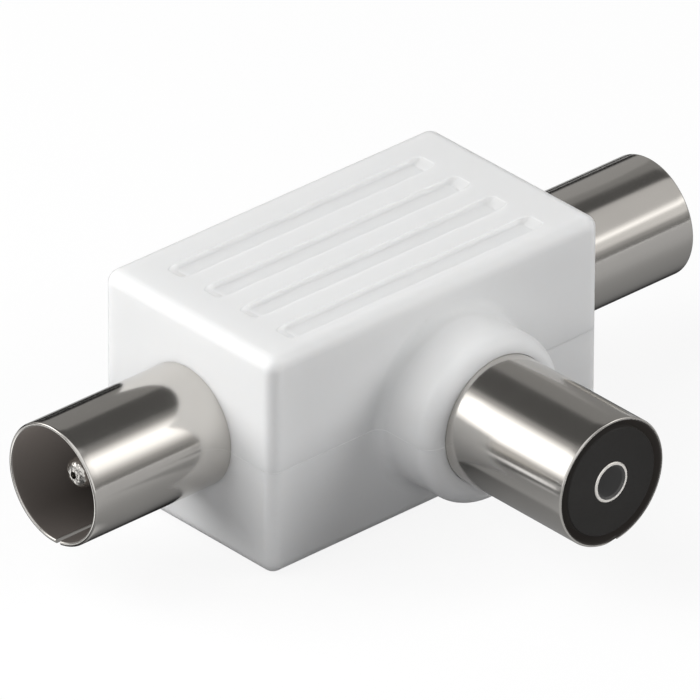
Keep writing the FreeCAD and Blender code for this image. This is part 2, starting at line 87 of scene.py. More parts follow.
# Pieces inside, in metres from the middle of the resistor or the top of the capacitor
BROWN, DARK, GOLD = (0.24, 0.09, 0.03), (0.02, 0.02, 0.02), (0.55, 0.36, 0.08)
RESISTOR_BANDS = ((-0.0012, BROWN), (-0.0005, DARK), (0.0002, BROWN), (0.0012, GOLD))
RESISTOR_BAND_HALF, RESISTOR_HALF = 0.00018, 0.00166
CAPACITOR_HEIGHT = 0.004

# Shapes
SHARP_ANGLE = 38  # degrees
TUBE_STEPS, CORNER_STEPS, RIM_STEPS = 24, 6, 8
TUCK_ANGLE = 14  # degrees over which the seam's edge dips
TUCK_START, TUCK_RISE = 0.002, 0.001  # height where the tuck starts, and over which it grows
CARD_STEPS, DISC_STEPS = 25, 96

# Studio, in metres
CAMERA_TARGET = (-0.00109, 0.0, 0.00894)
CAMERA_SHIFT = (0.000163, 0.000052)  # to the right and up
LAMP_DISTANCE, LAMP_SIZE = 0.5, 0.28
FLOOR_HEIGHT, FLOOR_RADIUS = -0.00004, 3.0
FLOOR_SEEN, FLOOR_WHITENING = 0.92, 0.88  # the seen floor's colour, and the share of it that glows white
TABLE_HEIGHT, TABLE_RADIUS = -0.00002, 0.3
TABLE_REACH = 0.1  # distance that TABLE_GREYS gives shares of
# TABLE_GREYS paint the connectors' shadow on the table in reflections, lightening away from the plugs' line
# and the socket's strip.
TABLE_GREYS = (
    (0.0, 0.01), (0.01, 0.03), (0.025, 0.13), (0.045, 0.23), (0.07, 0.28), (0.13, 0.35), (0.2, 0.46),
    (0.3, 0.51), (1.0, 0.55))
DARK_BEHIND, DARK_UP_TO = 0.045, 0.11  # the table is dark where Y is above the first and X below the second
LINE_HALF, LINE_FADE = 0.0012, 0.006  # half the plugs' line, and how far it fades beyond the housing
STRIP_HALF, STRIP_GREY, STRIP_FADE = 0.010, 0.0016, 0.005  # the socket's strip: see footprint_distance
CARD_TINT = (1.0, 0.985, 0.965)
END_MIDDLE = (0.022, 0.0, 0.009)  # middle of the end plug, which its own cards stand round


# Sizes and colours

def length(name, description, default):
    """Length property in metres."""
    return FloatProperty(name=name, description=description, default=default, unit="LENGTH", precision=6)


def angle(name, description, default):
    """Angle property, with its default in degrees."""
    return FloatProperty(name=name, description=description, default=math.radians(default), subtype="ANGLE")


def colour(name, description, default):
    """Linear colour property."""
    return FloatVectorProperty(
        name=name, description=description, default=default, subtype="COLOR", min=0, max=1)


class SleeveSizes(bpy.types.PropertyGroup):
    """Sheet metal sleeves."""
    plug_radius: length("Plug radius", "Outside of a plug's sleeve", 0.00476)
    plug_wall: length("Plug sheet", "Thickness of a plug's strip", 0.00035)
    socket_radius: length("Socket radius", "Outside of the socket's sleeve", 0.00505)
    socket_wall: length("Socket sheet", "Thickness of the socket's strip", 0.00026)
    neck_step: length("Neck step", "How much slimmer the neck in the wall is", 0.0002)
    neck_length: length("Neck length", "Thickness of the housing's wall", 0.0014)
    flange_reach: length("Flange reach", "How far the root's flange stands out", 0.001)
    slit_mouth: length("Slit at the mouth", "Width of a plug's slit at the rim", 0.0005)
    slit_root: length("Slit at the root", "Width of a plug's slit at the flange", 0.0001)
    slit_turn: angle("Slit turn", "Turn of the slits and the seam from straight below", 7)
    seam: length("Seam", "Gap of the socket's closed seam", 0.00006)
    tuck: length("Seam tuck", "How far one edge of the seam is tucked in", 0.00012)
    around: IntProperty(name="Steps around", description="Steps of the grid around a sleeve", default=288)


class FinishColours(bpy.types.PropertyGroup):
    """Colours of the surfaces."""
    housing: colour("Housing", "White moulding", (0.80, 0.803, 0.80))
    nickel: colour("Nickel", "Plated strip outside", (0.64, 0.62, 0.59))
    # Painted shade: the dark colour of the sleeves' insides.
    nickel_inside_shade: colour("Nickel inside", "Dull inside of a plug's sleeve", (0.118, 0.105, 0.096))
    insulator: colour("Insulator", "Black moulding", (0.014, 0.013, 0.012))
    strip: colour("Tinned strip", "Ground frame", (0.60, 0.61, 0.62))
    board: colour("Board", "Paper laminate", (0.42, 0.27, 0.11))
    ferrite: colour("Ferrite", "Cores", (0.035, 0.035, 0.037))
    copper: colour("Copper", "Enamelled wire", (0.62, 0.22, 0.07))
    resistor: colour("Resistor", "Body of the resistor", (0.62, 0.50, 0.33))
    capacitor: colour("Capacitor", "Disc of the capacitor", (0.62, 0.30, 0.07))
    solder: colour("Solder", "Soldered joints", (0.66, 0.67, 0.69))


class StudioSettings(bpy.types.PropertyGroup):
    """Camera, lamps and background."""
    azimuth: angle("Azimuth", "Camera's turn from straight in front", -42.29)
    elevation: angle("Elevation", "Camera's height above the level", 30.20)
    roll: angle("Roll", "Camera's roll", 0.22)
    distance: length("Distance", "From the camera to the point that it looks at", 1.2)
    lens: FloatProperty(
        name="Lens", description="Focal length in millimetres on a 36 mm sensor", default=850.5)
    fill: FloatProperty(
        name="Fill", description="Strength of the even light from all round", default=0.02)
    lamps: FloatProperty(
        name="Lamps", description="Strength of all the lamps together", default=1.0)
    floor: colour("Floor", "Floor as the object's light meets it", (0.32, 0.32, 0.33))


# Shader maths

class Amount:
    """A number that varies over a surface. Arithmetic with it adds Math nodes."""

    def __init__(self, finish, socket):
        self.finish = finish
        self.socket = socket

    def math(self, operation, *operands, clamp=False):
        """Math node on these operands."""
        settings = {"operation": operation, "use_clamp": clamp}
        return self.finish.node("ShaderNodeMath", settings, dict(enumerate(operands)))[0]

    def __add__(self, other):
        return self.math("ADD", self, other)

    def __radd__(self, other):
        return self.math("ADD", other, self)

    def __sub__(self, other):
        return self.math("SUBTRACT", self, other)

    def __rsub__(self, other):
        return self.math("SUBTRACT", other, self)

    def __mul__(self, other):
        return self.math("MULTIPLY", self, other)

    def __rmul__(self, other):
        return self.math("MULTIPLY", other, self)

    def __truediv__(self, other):
        return self.math("DIVIDE", self, other)

    def __abs__(self):
        return self.math("ABSOLUTE", self)

    def __pow__(self, other):
        return self.math("POWER", self, other)

    def above(self, edge, softness):
        """0 below an edge and 1 above it, with a straight rise of this softness."""
        return self.math("ADD", (self - edge) / softness, 0.5, clamp=True)

    def between(self, start, end, rise, fall):
        """1 between two edges and 0 outside them, with a softness for each edge."""
        return self.above(start, rise) * (1 - self.above(end, fall))


class Finish:
    """A material, or the world, in the making."""

    def __init__(self, name, owner=None):
        self.material = owner or bpy.data.materials.new(name)
        self.material.use_nodes = True
        self.tree = self.material.node_tree
        self.tree.nodes.clear()

    def node(self, kind, settings=None, values=None):
        """Adds a node: its settings first, then the values or links of its sockets. Returns its outputs."""
        node = self.tree.nodes.new(kind)
        for key, value in (settings or {}).items():
            if key == "stops":
                ramp = node.color_ramp
                while len(ramp.elements) < len(value):
                    ramp.elements.new(1.0)
                for element, (place, shade) in zip(ramp.elements, value):
                    element.position = place
                    element.color = (*shade, 1.0)
            else:
                setattr(node, key, value)
        for key, value in (values or {}).items():
            socket = node.inputs[key]
            if isinstance(value, Amount):
                self.tree.links.new(value.socket, socket)
            elif socket.type == "RGBA":
                socket.default_value = (*value, 1.0)
            else:
                socket.default_value = value
        return [Amount(self, output) for output in node.outputs]

    def mix(self, factor, first, second):
        """Colour that goes from the first to the second as the factor goes from 0 to 1."""
        outputs = self.node("ShaderNodeMix", {"data_type": "RGBA"}, {0: factor, 6: first, 7: second})
        return outputs[2]

    def place(self):
        """Object coordinates as a vector and as three amounts."""
        vector = self.node("ShaderNodeTexCoord")[3]
        return (vector, *self.node("ShaderNodeSeparateXYZ", values={0: vector}))

    def stretched(self, vector, scale):
        """Vector multiplied by a scale for each axis."""
        return self.node("ShaderNodeVectorMath", {"operation": "MULTIPLY"}, {0: vector, 1: scale})[0]

    def noise(self, vector, scale, detail=3.0, roughness=0.5):
        """Noise between 0 and 1."""
        values = {"Vector": vector, "Scale": scale, "Detail": detail, "Roughness": roughness}
        return self.node("ShaderNodeTexNoise", None, values)[0]

    def bump(self, height, depth, strength=1.0):
        """Normal from a height in steps of a depth in metres."""
        values = {"Height": height, "Distance": depth, "Strength": strength}
        return self.node("ShaderNodeBump", None, values)[0]

    def surface(self, **sockets):
        """Principled surface, with underscores for the spaces in its sockets' names."""
        values = {key.replace("_", " "): value for key, value in sockets.items()}
        self.output(self.node("ShaderNodeBsdfPrincipled", None, values)[0])
        return self.material

    def output(self, shader):
        """Ends the material with a shader."""
        self.node("ShaderNodeOutputMaterial", None, {0: shader})


# Finishes

def housing_finish(colours):
    """Semi-gloss moulding that light goes a little way into, with fine grain and faint flow marks.

    Its left end is painted paler as light and its far top edge painted darker as shade. The grooves' right
    ramps are painted darker to dim their highlights, their left ramps painted paler against their shade, and
    the joint glows as painted light.
    """
    finish = Finish("white_moulding")
    vector, x, y, z = finish.place()
    grain = finish.noise(vector, 5200, 2, 0.6)
    flow = finish.noise(finish.stretched(vector, (0.5, 1.0, 1.6)), 160, 2)
    base = np.array(colours.housing)
    tone = finish.mix(flow, base * 0.985, base * (0.995, 0.995, 1.0))
    low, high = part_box("housing_top")
    # Painted light: the left end is made paler.
    left_end_light = 1 - x.above(low.x + PALE_END, PALE_BLEND)
    # Painted shade: a darker band along the far top edge.
    far_edge_shade = y.between(high.y - FAR_EDGE_SHADE[0], high.y - FAR_EDGE_SHADE[1], 0.0003, 0.0001)
    sunk = z.between(high.z - GROOVE_FLOOR, high.z - GROOVE_LIP, 0.0001, 0.00004)
    sunk = sunk * (1 - abs(y).above(GROOVES_REACH, 0.0002))
    # Painted shade on the right ramps dims their highlights; painted light on the left ramps lifts their
    # shade.
    right_ramps_shade = sunk * x.between(*RIGHT_RAMPS, 0.0006, 0.0002)
    left_ramps_light = sunk * x.between(*LEFT_RAMPS, 0.0002, 0.0006)
    for mask, share in ((left_end_light, 1.04), (far_edge_shade, 0.72), (right_ramps_shade, 0.90), (left_ramps_light, 1.12)):
        tone = finish.mix(mask, tone, base * share)
    # Painted light: the joint glows, less right of the boss, to lift its shade.
    joint = (1 - abs(z - low.z).above(JOINT_HALF, 0.000006)) * (1 - 0.4 * x.above(0.009, 0.002))
    return finish.surface(
        Base_Color=tone,
        Roughness=0.30 + 0.08 * grain + 0.05 * flow,
        Specular_IOR_Level=0.42,
        Subsurface_Weight=0.6,
        Subsurface_Radius=(1.0, 0.97, 0.94),
        Subsurface_Scale=0.0015,
        Emission_Color=finish.mix(joint, BLACK, (JOINT_GLOW,) * 3),
        Emission_Strength=1.0,
        Normal=finish.bump(grain, 0.000004, 0.35))


def nickel_finish(name, colours, outer_radius, lengthwise, inside, inside_glow):
    """Plated strip: lines drawn along the sleeve, faint clouding, and a dull inside painted dark as shade,
    with a painted glow that grows towards its top.
    """
    finish = Finish(name)
    vector, x, y, z = finish.place()
    scale = (DRAWN, 1.0, 1.0) if lengthwise else (1.0, DRAWN, 1.0)
    lines = finish.noise(finish.stretched(vector, scale), 9000, 2, 0.6)
    clouds = finish.noise(vector, 420, 3)
    radial = abs(y) if lengthwise else abs(x)
    across = ((z - AXIS_HEIGHT) ** 2.0 + radial ** 2.0) ** 0.5
    outside = across.above(outer_radius, 0.00004)
    base = np.array(colours.nickel)
    bright = finish.mix(clouds, base * 0.97, base * 1.02)
    # Painted light: the inside glows more towards its top.
    bottom, top = np.outer(inside_glow, colours.nickel_inside_shade)
    painted_glow = finish.mix(z.above(AXIS_HEIGHT, outer_radius * INSIDE_GLOW_SPREAD), bottom, top)
    return finish.surface(
        # The inside takes a dark colour as painted shade.
        Base_Color=finish.mix(outside, inside, bright),
        Metallic=0.35 + 0.65 * outside,
        Roughness=0.10 + 0.04 * lines + 0.04 * clouds + 0.35 * (1 - outside),
        Emission_Color=finish.mix(outside, painted_glow, BLACK),
        Emission_Strength=1.0,
        Normal=finish.bump(lines, 0.0000012, 0.3))


def pin_finish(colours):
    """Plated pins, turned bright, with a skin of solder on the tip."""
    finish = Finish("nickel_turned")
    vector, x, *_ = finish.place()
    marks = finish.noise(vector, 2600, 3)
    tip = x.above(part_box("end_plug_pin")[1].x - PIN_TIP, 0.0002) + (
        1 - x.above(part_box("plug_pin")[0].x + PIN_TIP, 0.0002))
    lumps = finish.noise(vector, 1500, 2) * tip
    base = np.array(colours.nickel)
    return finish.surface(
        Base_Color=finish.mix(marks, base * 0.92, np.minimum(base * 1.2, 1)),
        Metallic=1.0,
        Roughness=0.16 + 0.12 * marks,
        Normal=finish.bump(lumps + 0.02 * marks, 0.00022, 0.9))


def contact_finish(colours):
    """Plated contact: a bright rim round a bore painted black as shade, with a painted glow in it."""
    finish = Finish("nickel_contact")
    vector, x, _, z = finish.place()
    marks = finish.noise(vector, 2600, 3)
    rim = (((z - AXIS_HEIGHT) ** 2.0 + x ** 2.0) ** 0.5).above(CONTACT_MOUTH, 0.00003)
    base = np.minimum(np.array(colours.nickel) * 1.5, 1)
    return finish.surface(
        # Inside the rim the bore is painted black as shade and glows as painted light.
        Base_Color=finish.mix(rim, colours.insulator, finish.mix(marks, base * 0.92, base)),
        Metallic=rim,
        Roughness=0.3 + 0.2 * marks,
        Emission_Color=finish.mix(rim, (CONTACT_BORE_GLOW,) * 3, BLACK),
        Emission_Strength=1.0,
        Normal=finish.bump(marks, 0.000004, 0.35))


def insulator_finish(colours):
    """Black moulding: satin, with fine grain, faint swirls and a faint painted glow in the gap round the
    socket's post, which lifts its shade.
    """
    finish = Finish("black_moulding")
    vector, _, y, _ = finish.place()
    grain = finish.noise(vector, 3800, 3, 0.6)
    swirl = finish.noise(vector, 380, 2)
    base = np.array(colours.insulator)
    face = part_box("side_socket_insulator")[0].y
    # Painted light: the gap round the post glows with the insulator's colour.
    gap = y.between(face + POST_GAP[0], face + POST_GAP[1], 0.00005, 0.001)
    return finish.surface(
        Base_Color=finish.mix(swirl, base * 0.85, base * 1.25),
        Specular_IOR_Level=0.3,
        Roughness=0.42 + 0.14 * grain,
        Emission_Color=finish.mix(gap, BLACK, base),
        Emission_Strength=1.0,
        Normal=finish.bump(grain, 0.000006, 0.3))


def strip_finish(colours):
    """Tinned strip with rolling lines along it and dull spots."""
    finish = Finish("tinned_strip")
    vector = finish.place()[0]
    lines = finish.noise(finish.stretched(vector, (0.05, 0.05, 1.0)), 7000, 2)
    spots = finish.noise(vector, 700, 4, 0.6)
    base = np.array(colours.strip)
    return finish.surface(
        Base_Color=finish.mix(spots, base * 0.85, base * 1.05),
        Metallic=1.0,
        Roughness=0.25 + 0.15 * lines + 0.1 * spots,
        Normal=finish.bump(lines, 0.000003, 0.4))


def board_finish(colours):
    """Paper laminate: pressed fibres and darker blotches."""
    finish = Finish("paper_laminate")
    vector = finish.place()[0]
    fibres = finish.noise(finish.stretched(vector, (0.3, 1.0, 1.0)), 2400, 5, 0.65)
    blotches = finish.noise(vector, 240, 3)
    base = np.array(colours.board)
    brown = finish.mix(fibres, base * 0.7, base * 1.2)
    return finish.surface(
        Base_Color=finish.mix(blotches * 0.4, brown, base * (1.0, 0.9, 0.8)),
        Roughness=0.5 + 0.15 * fibres,
        Normal=finish.bump(fibres, 0.00001, 0.4))


def ferrite_finish(colours):
    """Sintered ferrite: dark, matt and grainy, with pale rubbed grains."""
    finish = Finish("sintered_ferrite")
    vector = finish.place()[0]
    grain = finish.noise(vector, 4200, 4, 0.7)
    base = np.array(colours.ferrite)
    return finish.surface(
        Base_Color=finish.mix(grain.above(0.62, 0.1), base, base * 2.4),
        Roughness=0.62 + 0.2 * grain,
        Normal=finish.bump(grain, 0.00002, 0.5))


def copper_finish(colours):
    """Copper under clear enamel, a little uneven in depth."""
    finish = Finish("enamelled_copper")
    vector = finish.place()[0]
    depth = finish.noise(vector, 1800, 3)
    base = np.array(colours.copper)
    return finish.surface(
        Base_Color=finish.mix(depth, base * 0.8, base * (1.1, 1.15, 1.1)),
        Metallic=0.9,
        Roughness=0.24 + 0.1 * depth,
        Coat_Weight=0.6,
        Coat_Roughness=0.1)


def resistor_finish(colours, middle):
    """Lacquered body with generic value bands, and tinned leads."""
    finish = Finish("resistor_lacquer")
    vector, x, *_ = finish.place()
    grain = finish.noise(vector, 3000, 3)
    base = np.array(colours.resistor)
    shade = finish.mix(grain, base * 0.9, base)
    for place, band in RESISTOR_BANDS:
        inside = 1 - abs(x - (middle + place)).above(RESISTOR_BAND_HALF, 0.00004)
        shade = finish.mix(inside, shade, band)
    lead = abs(x - middle).above(RESISTOR_HALF, 0.00004)
    return finish.surface(
        Base_Color=finish.mix(lead, shade, colours.solder),
        Metallic=lead,
        Roughness=0.3 + 0.1 * grain)


def capacitor_finish(colours, lead_top):
    """Waxed ceramic disc, with tinned leads below it."""
    finish = Finish("waxed_ceramic")
    vector, *_, z = finish.place()
    grain = finish.noise(vector, 1500, 4, 0.6)
    base = np.array(colours.capacitor)
    disc = z.above(lead_top, 0.00005)
    return finish.surface(
        Base_Color=finish.mix(disc, colours.solder, finish.mix(grain, base * 0.8, base * 1.1)),
        Metallic=1 - disc,
        Roughness=0.35 + 0.2 * grain,
        Normal=finish.bump(grain, 0.00001, 0.4))


def solder_finish(colours):
    """Bright solder with a frosted patch here and there."""
    finish = Finish("bright_solder")
    vector = finish.place()[0]
    frost = finish.noise(vector, 2200, 4, 0.6)
    base = np.array(colours.solder)
    return finish.surface(
        Base_Color=finish.mix(frost, base * 0.88, base),
        Metallic=1.0,
        Roughness=0.18 + 0.3 * frost,
        Normal=finish.bump(frost, 0.000008, 0.4))


# Shapes

def mesh_object(name, points, faces, material):
    """Object at the origin from an array of points and a list of faces, smooth except at sharp edges."""
    mesh = bpy.data.meshes.new(name)
    mesh.from_pydata(points.tolist(), [], faces)
    mesh.shade_smooth()
    mesh.set_sharp_from_angle(angle=math.radians(SHARP_ANGLE))
    mesh.materials.append(material)
    mesh.validate()
    piece = bpy.data.objects.new(name, mesh)
    bpy.context.scene.collection.objects.link(piece)
    return piece


def grid_faces(rows, columns, closed):
    """Quads between neighbours of a grid, numbered row by row, as an array.

    In a closed grid the last row is joined to the first.
    """
    row, column = np.meshgrid(
        np.arange(rows if closed else rows - 1), np.arange(columns - 1), indexing="ij")
    here = row * columns + column
    below = (row + 1) % rows * columns + column
    return np.stack([here, here + 1, below + 1, below], axis=-1).reshape(-1, 4)


def seated(points, seat, outward):
    """Carries points from a connector's own frame to its seat, with their X up and their Z outward."""
    outward = np.array(outward, float)
    return seat + points @ np.stack([UP, np.cross(outward, UP), outward])


def arc(centre, radius, start, end, steps):
    """Points of an arc: centre + radius * (cos t, sin t) for t from start to end, in degrees."""
    t = np.radians(np.linspace(start, end, steps))
    return np.stack([centre[0] + radius * np.cos(t), centre[1] + radius * np.sin(t)], axis=1)


def sleeve_section(radius, wall, rim, sizes):
    """Closed section of the strip as (radius, height) rows: flange, neck, tube and round rim."""
    inner = radius - wall
    neck = sizes.neck_step
    neck_top = wall + sizes.neck_length
    flange = radius - neck + sizes.flange_reach
    bend = wall * 0.7
    edge = wall * 0.45
    heights = np.linspace(neck_top + bend, rim - edge, TUBE_STEPS)
    return np.concatenate([
        [(flange, 0), (flange, wall)],
        arc((radius - neck + bend, wall + bend), bend, 270, 180, CORNER_STEPS),
        [(radius - neck, neck_top - bend)],
        [(radius, neck_top)],
        np.stack([np.full(TUBE_STEPS, radius), heights], axis=1),
        arc((radius - edge, rim - edge), edge, 8, 90, RIM_STEPS),
        arc((inner + edge, rim - edge), edge, 90, 172, RIM_STEPS),
        np.stack([np.full(TUBE_STEPS, inner), heights[::-1] + wall * 0.5], axis=1)[1:],
        [(inner, neck_top + wall)],
        [(inner - neck, neck_top)],
        [(inner - neck, 0)],
    ])


def rolled_sleeve(name, section, slit, turn, tuck, around, seat, outward, material):
    """Strip rolled to a sleeve.

    A point of the section at radius r and height h goes round by the angle
    a = turn + d + (360 - 2d) * v, where d is half the slit's width there over r.
    Near the seam's end the radius dips by tuck * s, where s rises smoothly from 0 to 1
    over the last TUCK_ANGLE degrees.
    """
    radius, height = section[:, :1], section[:, 1:]
    v = np.linspace(0, 1, around + 1)[None, :]
    share = np.clip(height / height.max(), 0, 1)
    half = (slit[0] + (slit[1] - slit[0]) * share) / 2 / radius
    a = turn + half + (2 * np.pi - 2 * half) * v
    near = np.clip(1 - (1 - v) * 360 / TUCK_ANGLE, 0, 1)
    dip = tuck * near * near * (3 - 2 * near) * np.clip((height - TUCK_START) / TUCK_RISE, 0, 1)
    x = (radius - dip) * np.cos(a)
    y = (radius - dip) * np.sin(a)
    points = seated(np.stack([x, y, height + 0 * v], axis=-1).reshape(-1, 3), seat, outward)
    rows = len(section)
    columns = around + 1
    faces = grid_faces(rows, columns, True)[:, ::-1].tolist()
    faces.append([i * columns for i in range(rows)])
    faces.append([i * columns + around for i in reversed(range(rows))])
    return mesh_object(name, points, faces, material)


def card_patch(name, card):
    """Patch of a sphere.

    centre + radius * (cos a cos e, sin a cos e, sin e), where the azimuth a and the elevation e
    run over the card's spread by the shares u and v.
    """
    share = np.linspace(0, 1, CARD_STEPS)
    u, v = np.meshgrid(share, share, indexing="ij")
    azimuth = np.radians(card.azimuths[0] + (card.azimuths[1] - card.azimuths[0]) * u)
    elevation = np.radians(card.elevations[0] + (card.elevations[1] - card.elevations[0]) * v)
    points = np.stack([
        np.cos(azimuth) * np.cos(elevation), np.sin(azimuth) * np.cos(elevation), np.sin(elevation)], axis=-1)
    points = (np.array(card.centre) + card.radius * points).reshape(-1, 3)
    faces = grid_faces(CARD_STEPS, CARD_STEPS, False).tolist()
    patch = mesh_object(name, points, faces, card_material(name, card))
    layer = patch.data.uv_layers.new(name="spread")
    index = np.empty(len(patch.data.loops), int)
    patch.data.loops.foreach_get("vertex_index", index)
    spread = np.stack([u.ravel(), v.ravel()], axis=1)[index]
    layer.data.foreach_set("uv", spread.ravel())
    return patch


class Lamp(NamedTuple):
    """Soft lamp: where it stands, in degrees, and its watts."""
    azimuth: float
    elevation: float
    watts: float


class Card(NamedTuple):
    """Glowing patch of a sphere that only reflections show.

    Its spread is in degrees, and across and up are the shares of it that are feathered at its edges.
    """
    azimuths: tuple
    elevations: tuple
    radius: float
    glow: float
    across: float
    up: float
    centre: tuple = (0.0, 0.0, 0.009)


class Spot(NamedTuple):
    """Round patch of the table, in metres, with its glow: bright patches are painted light and dim ones
    painted shade, seen in reflections.
    """
    x: float
    y: float
    radius: float
    softness: float
    glow: float


LAMPS = {
    "left_lamp": Lamp(135, 25, 1.99),
    "left_high_lamp": Lamp(135, 60, 0.66),
    "right_lamp": Lamp(-45, 25, 1.55),
    "front_lamp": Lamp(-135, 25, 0.60),
    "side_lamp": Lamp(170, 45, 0.66),
}
CARDS = {
    "ceiling_card": Card((-36, 132), (45, 88), 0.50, 0.10, 0.09, 0.05),
    "far_card": Card((-12, 118), (-8, 60), 0.60, 0.28, 0.06, 0.10),
    "right_card": Card((-66, -22), (10, 50), 0.42, 2.3, 0.40, 0.35),
    "right_low_card": Card((-85, -10), (-5, 8), 0.55, 0.20, 0.05, 0.45),
    "right_wall_card": Card((-85, -10), (-6, 60), 0.62, 0.38, 0.05, 0.10),
    "left_card": Card((110, 158), (2, 43.5), 0.42, 2.8, 0.30, 0.30),
    "left_wall_card": Card((108, 165), (-8, 60), 0.62, 0.42, 0.05, 0.10),
    "dark_card": Card((47, 80), (-34, 9), 0.30, 0.004, 0.03, 0.04),
    "end_card": Card((-60, -4), (24, 64), 0.10, 0.66, 0.12, 0.25, END_MIDDLE),
    "end_low_card": Card((-64, -38), (13, 27), 0.10, 0.85, 0.15, 0.25, END_MIDDLE),
    "end_far_card": Card((35, 62), (11, 46), 0.045, 0.38, 0.12, 0.15, END_MIDDLE),
    "front_card": Card((87.3, 92.7), (-2.3, 2.3), 0.10, 2.4, 0.12, 0.30, (-0.0127, -0.1093, 0.0163)),
}
# Patches of painted light and, with a dim glow, painted shade on the table in reflections.
SPOTS = (
    Spot(-0.0405, 0.0062, 0.0035, 0.003, 1.6),
    Spot(-0.0437, 0.0112, 0.0030, 0.003, 1.6),
    Spot(-0.0452, 0.0160, 0.0032, 0.003, 1.6),
    Spot(-0.0492, 0.0125, 0.0030, 0.003, 1.6),
    Spot(0.0125, -0.0385, 0.008, 0.003, 0.03),
    Spot(0.0104, -0.038, 0.003, 0.001, 2.4),
    Spot(-0.0272, -0.0055, 0.0025, 0.002, 0.6),
    Spot(-0.0385, 0.0135, 0.003, 0.002, 0.03),
)


def card_material(name, card):
    """Glow of a card on its inner side, feathered towards its edges along its own two parameters.

    Output 6 of the Geometry node is 1 on the outer side.
    """
    finish = Finish(name)
    spread = finish.node("ShaderNodeUVMap", {"uv_map": "spread"})[0]
    u, v, _ = finish.node("ShaderNodeSeparateXYZ", values={0: spread})
    mask = 1 - finish.node("ShaderNodeNewGeometry")[6]
    for amount, feather in ((u, card.across), (1 - u, card.across), (v, card.up), (1 - v, card.up)):
        mask = amount.above(feather / 2, feather) * mask
    clear = finish.node("ShaderNodeBsdfTransparent")[0]
    lit = finish.node("ShaderNodeEmission", None, {0: CARD_TINT, 1: card.glow})[0]
    finish.output(finish.node("ShaderNodeMixShader", None, {0: mask, 1: clear, 2: lit})[0])
    return finish.material


def direction(azimuth, elevation):
    """Unit vector towards an azimuth from +X and an elevation, in degrees."""
    a, e = math.radians(azimuth), math.radians(elevation)
    return Vector((math.cos(a) * math.cos(e), math.sin(a) * math.cos(e), math.sin(e)))


def only_reflected(card):
    """Leaves a card to reflections alone."""
    card.visible_camera = False
    card.visible_diffuse = False
    card.visible_transmission = False
    card.visible_volume_scatter = False
    card.visible_shadow = False


def seen_rays(finish):
    """1 for rays that show the background: from the camera, a reflection or clear material."""
    rays = finish.node("ShaderNodeLightPath")
    camera, glossy, transmission = rays[0], rays[3], rays[6]
    return camera.math("MAXIMUM", camera, glossy.math("MAXIMUM", glossy, transmission))


def footprint_distance(x, y):
    """Distance on the table from the plugs' line or the socket's strip, whichever is less, in metres, along
    which the painted shadow of the connectors lightens.

    From the plugs' line it is |y| less half the line's width, and more beyond the housing. In the socket's
    strip it is STRIP_GREY, more from STRIP_FADE inside the front face on, and it grows steeply past the
    strip's sides and ends.
    """
    low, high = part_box("housing_bottom")
    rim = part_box("side_socket_sleeve")[0].y
    beside = x.math("MINIMUM", x.math("MAXIMUM", abs(x) - high.x, 0.0), LINE_FADE)
    before = y.math("MAXIMUM", low.y + STRIP_FADE - y, 0.0)
    beyond = y.math("MAXIMUM", rim - y, 0.0)
    behind = y.math("MAXIMUM", y, 0.0)
    clear = x.math("MAXIMUM", abs(x) - STRIP_HALF, 0.0)
    along = abs(y) - LINE_HALF + beside * 0.3
    across = STRIP_GREY + before * 0.5 + beyond * 4 + clear * 6 + behind * 4
    return along.math("MINIMUM", along, across)


def floor_card_material():
    """Grey of the table in reflections: a painted shadow under the connectors, dark far behind, with a few
    patches of painted light and painted shade.
    """
    finish = Finish("table_grey")
    _, x, y, _ = finish.place()
    stops = [(place, (grey,) * 3) for place, grey in TABLE_GREYS]
    # Painted shadow of the connectors, lightening away from their footprint.
    away = footprint_distance(x, y) / TABLE_REACH
    shade = finish.node("ShaderNodeValToRGB", {"stops": stops}, {0: away})[0]
    shadow = y.above(DARK_BEHIND, 0.01) * (1 - x.above(DARK_UP_TO, 0.02))
    shade = finish.mix(shadow, shade, DARK)
    for spot in SPOTS:
        away = ((x - spot.x) ** 2.0 + (y - spot.y) ** 2.0) ** 0.5
        shade = finish.mix(1 - away.above(spot.radius, spot.softness), shade, (spot.glow,) * 3)
    finish.output(finish.node("ShaderNodeEmission", None, {0: shade, 1: 1.0})[0])
    return finish.material


def floor_material(returned):
    """Pale floor: nearly white where it is seen, with the shadow kept, and this colour for other light."""
    finish = Finish("pale_floor")
    seen = seen_rays(finish)
    shade = finish.mix(seen, returned, (FLOOR_SEEN,) * 3)
    matt = finish.node("ShaderNodeBsdfDiffuse", None, {0: shade})[0]
    white = finish.node("ShaderNodeEmission", None, {0: WHITE, 1: 1.0})[0]
    whitening = seen * FLOOR_WHITENING
    finish.output(finish.node("ShaderNodeMixShader", None, {0: whitening, 1: matt, 2: white})[0])
    return finish.material


def disc(name, height, radius, material):
    """Level disc: its edge is (radius * cos a, radius * sin a, height)."""
    a = np.linspace(0, 2 * np.pi, DISC_STEPS, endpoint=False)
    points = np.stack([radius * np.cos(a), radius * np.sin(a), np.full(DISC_STEPS, height)], axis=1)
    return mesh_object(name, points, [list(range(DISC_STEPS))], material)


def lamp(name, watts, size, place, target):
    """Square soft lamp that isn't seen in reflections."""
    data = bpy.data.lights.new(name, "AREA")
    data.energy = watts
    data.size = size
    light = bpy.data.objects.new(name, data)
    bpy.context.scene.collection.objects.link(light)
    aim = (Vector(target) - Vector(place)).to_track_quat("-Z", "Y").to_matrix().to_4x4()
    light.matrix_world = Matrix.Translation(place) @ aim
    light.visible_camera = False
    light.visible_glossy = False


# Operators

